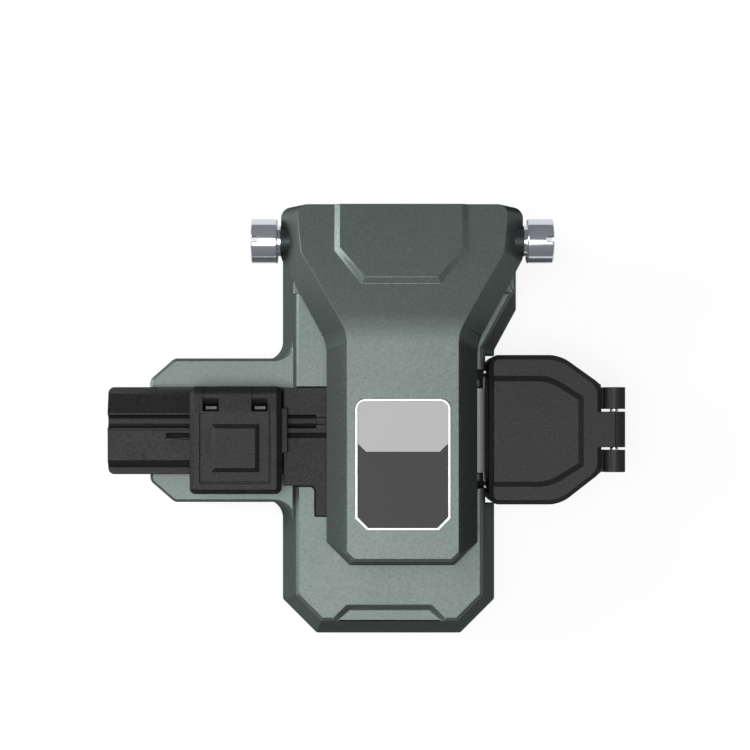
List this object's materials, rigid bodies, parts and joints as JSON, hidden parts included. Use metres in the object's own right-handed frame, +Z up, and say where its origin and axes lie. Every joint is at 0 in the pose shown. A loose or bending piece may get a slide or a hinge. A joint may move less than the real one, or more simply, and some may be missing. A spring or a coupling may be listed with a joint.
{
  "type": "optical fibre cleaver",
  "caption": "Bench fibre cleaver: hinged lever over a guide plate, sliding round blade, clamp lid on a grooved fibre rail, and a lidded scrap bin.",
  "frame": {"origin": "on the table under the middle of the overall box, with the lever closed", "axes": "+X to the right along the fibre, +Y to the rear where the lever is hinged, +Z up"},
  "size_m": [0.1186, 0.099, 0.0432],
  "materials": {
    "cast_paint": "fine satin paint, grey with a touch of green",
    "black_anodised": "fine matt black",
    "black_plastic": "fine grained moulding",
    "dark_plastic": "satin moulding",
    "chrome": "bright plated",
    "steel": "ground steel",
    "hard_metal": "lapped hard metal",
    "aluminium": "machined",
    "label_silver": "printed silver foil",
    "label_bright": "polished rim",
    "rubber": "matt"
  },
  "bodies": {
    "base": {"base_housing": "cast_paint", "bottom_cover": "dark_plastic", "cover_screws": "steel", "rubber_feet": "rubber", "bin_pegs": "steel", "guide_plate": "black_anodised", "guide_plate_screws": "steel", "lower_clamp_pads": "rubber", "guide_rods": "steel", "fibre_holder": "black_anodised", "holder_screws": "steel", "lid_magnets": "steel", "lid_spring_tabs": "steel", "roller_shaft": "steel", "roller_collars": "aluminium"},
    "lever": {"lever_cover": "cast_paint", "label_frame": "label_bright", "label_plate": "label_silver", "hinge_axle": "steel", "hinge_knob_left": "chrome", "hinge_knob_right": "chrome", "drive_arm": "steel", "drive_pin": "steel", "clamp_block": "aluminium", "clamp_block_screws": "steel", "anvil": "steel", "anvil_rubber": "rubber", "pinch_strip": "rubber", "clamp_spring_left": "steel", "clamp_spring_right": "steel"},
    "left_clamp": {"upper_clamp_left": "aluminium", "upper_rubber_left": "rubber"},
    "right_clamp": {"upper_clamp_right": "aluminium", "upper_rubber_right": "rubber"},
    "carriage": {"blade_carriage": "aluminium", "carriage_yoke": "steel", "yoke_screws": "steel", "height_screws": "steel", "blade_shaft": "steel", "blade_nut": "steel"},
    "blade": {"blade_wheel": "hard_metal"},
    "clamp_lid": {"holder_lid": "black_anodised", "lid_hinge_pin": "steel", "lid_rubber_pad": "rubber"},
    "bin": {"scrap_bin": "black_plastic", "scrap_lid_pin": "steel"},
    "bin_lid": {"scrap_lid": "black_plastic"},
    "roller": {"scrap_roller": "steel"}
  },
  "joints": [
    {"name": "lever_hinge", "type": "hinge", "parent": "base", "child": "lever", "pos_m": [0.0078, 0.04175, 0.032], "axis": [-1, 0, 0], "range_deg": [0, 45]},
    {"name": "carriage_slide", "type": "slide", "parent": "base", "child": "carriage", "axis": [0, -1, 0], "range_m": [0, 0.01461]},
    {"name": "blade_spin", "type": "hinge", "parent": "carriage", "child": "blade", "pos_m": [0.0078, 0.00527, 0.0156], "axis": [1, 0, 0], "continuous": true},
    {"name": "left_clamp_travel", "type": "slide", "parent": "lever", "child": "left_clamp", "axis": [0, 0, 1], "range_m": [0, 0.0008], "stiffness_N_per_m": 1200, "springref_m": -0.0012, "deforming": ["clamp_spring_left"]},
    {"name": "right_clamp_travel", "type": "slide", "parent": "lever", "child": "right_clamp", "axis": [0, 0, 1], "range_m": [0, 0.0008], "stiffness_N_per_m": 1200, "springref_m": -0.0012, "deforming": ["clamp_spring_right"]},
    {"name": "clamp_lid_hinge", "type": "hinge", "parent": "base", "child": "clamp_lid", "pos_m": [-0.02985, 0.00705, 0.0285], "axis": [-1, 0, 0], "range_deg": [0, 110]},
    {"name": "bin_pull", "type": "slide", "parent": "base", "child": "bin", "axis": [1, 0, 0], "range_m": [0, 0.03]},
    {"name": "bin_lid_hinge", "type": "hinge", "parent": "bin", "child": "bin_lid", "pos_m": [0.05677, -0.00065, 0.0215], "axis": [0, 1, 0], "range_deg": [0, 120]},
    {"name": "roller_spin", "type": "hinge", "parent": "base", "child": "roller", "pos_m": [0.0238, -0.0009, 0.0227], "axis": [0, 1, 0], "continuous": true}
  ],
  "couplings": [
    {"joint": "carriage_slide", "follows": "lever_hinge", "m_per_rad": 0.018471}
  ]
}
